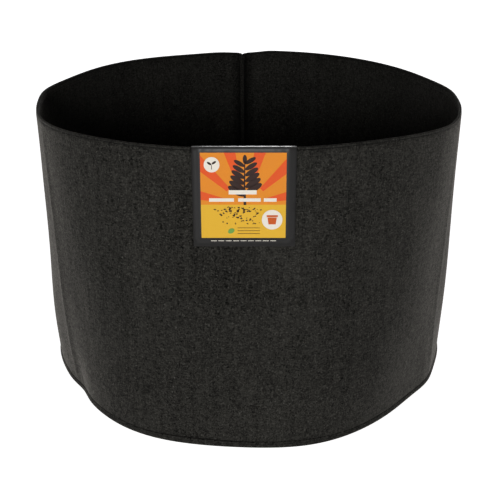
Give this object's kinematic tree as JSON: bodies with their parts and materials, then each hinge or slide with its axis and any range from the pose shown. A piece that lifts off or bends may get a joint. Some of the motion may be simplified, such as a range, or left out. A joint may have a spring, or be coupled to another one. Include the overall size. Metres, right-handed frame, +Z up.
{
  "type": "fabric grow bag",
  "caption": "Round open-topped planting bag sewn from thick felt, with a turned-in hem, a sewn-on base and a folded retail card that lifts off the rim.",
  "frame": {"origin": "centre of the base's underside", "axes": "+Z up through the open mouth, -Y towards the front where the card hangs, +X to the right seen from the front"},
  "size_m": [0.6971, 0.6998, 0.4583],
  "materials": {
    "felt": "matt charcoal needle-punched felt",
    "thread": "black bonded sewing thread",
    "card": "printed card with a satin varnish"
  },
  "bodies": {
    "bag": {"wall_panel": "felt", "base_panel": "felt", "hem_needle_thread": "thread", "hem_bobbin_thread": "thread", "side_seam_needle_thread": "thread", "side_seam_bobbin_thread": "thread", "base_seam_needle_thread": "thread", "base_seam_bobbin_thread": "thread"},
    "card": {"label_card": "card"}
  },
  "joints": [
    {"name": "card_lift", "type": "slide", "parent": "bag", "child": "card", "axis": [0, 0.0726, 0.9974], "range_m": [0, 0.15]}
  ]
}
